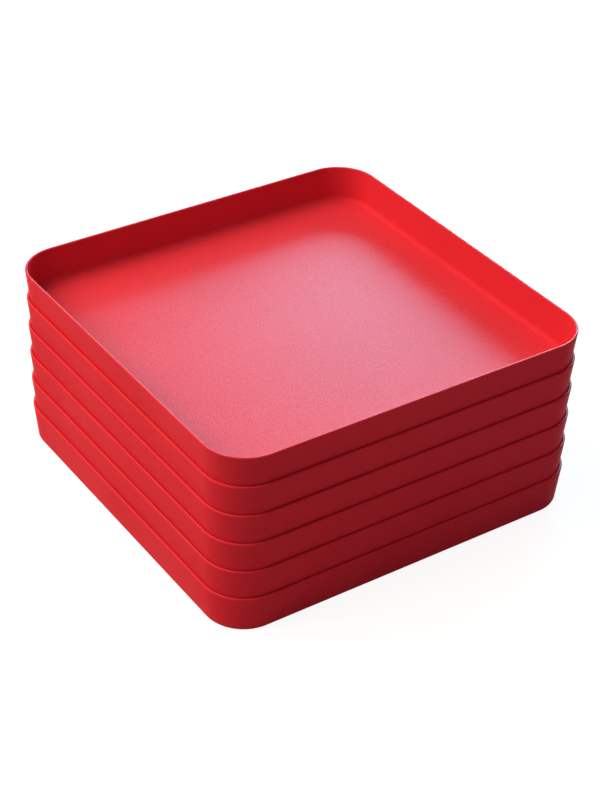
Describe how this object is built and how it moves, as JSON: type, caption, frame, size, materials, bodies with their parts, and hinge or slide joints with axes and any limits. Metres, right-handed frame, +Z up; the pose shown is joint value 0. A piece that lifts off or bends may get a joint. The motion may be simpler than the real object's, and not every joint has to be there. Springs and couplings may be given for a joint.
{
  "type": "stack of jigsaw puzzle sorting trays",
  "caption": "Stack of identical square red plastic trays for sorting puzzle pieces, with leaning walls and round corners, each tray nesting in the rim of the tray below.",
  "frame": {"origin": "centre of the stack's underside, in the plane of the foot that it stands on", "axes": "+Z up through the stack, +X and +Y across the trays, square to their sides"},
  "size_m": [0.2, 0.2, 0.0964],
  "materials": {
    "red_plastic": "satin"
  },
  "bodies": {
    "root": {"bottom_tray": "red_plastic", "second_tray": "red_plastic", "third_tray": "red_plastic", "fourth_tray": "red_plastic", "fifth_tray": "red_plastic", "top_tray": "red_plastic"}
  },
  "joints": []
}
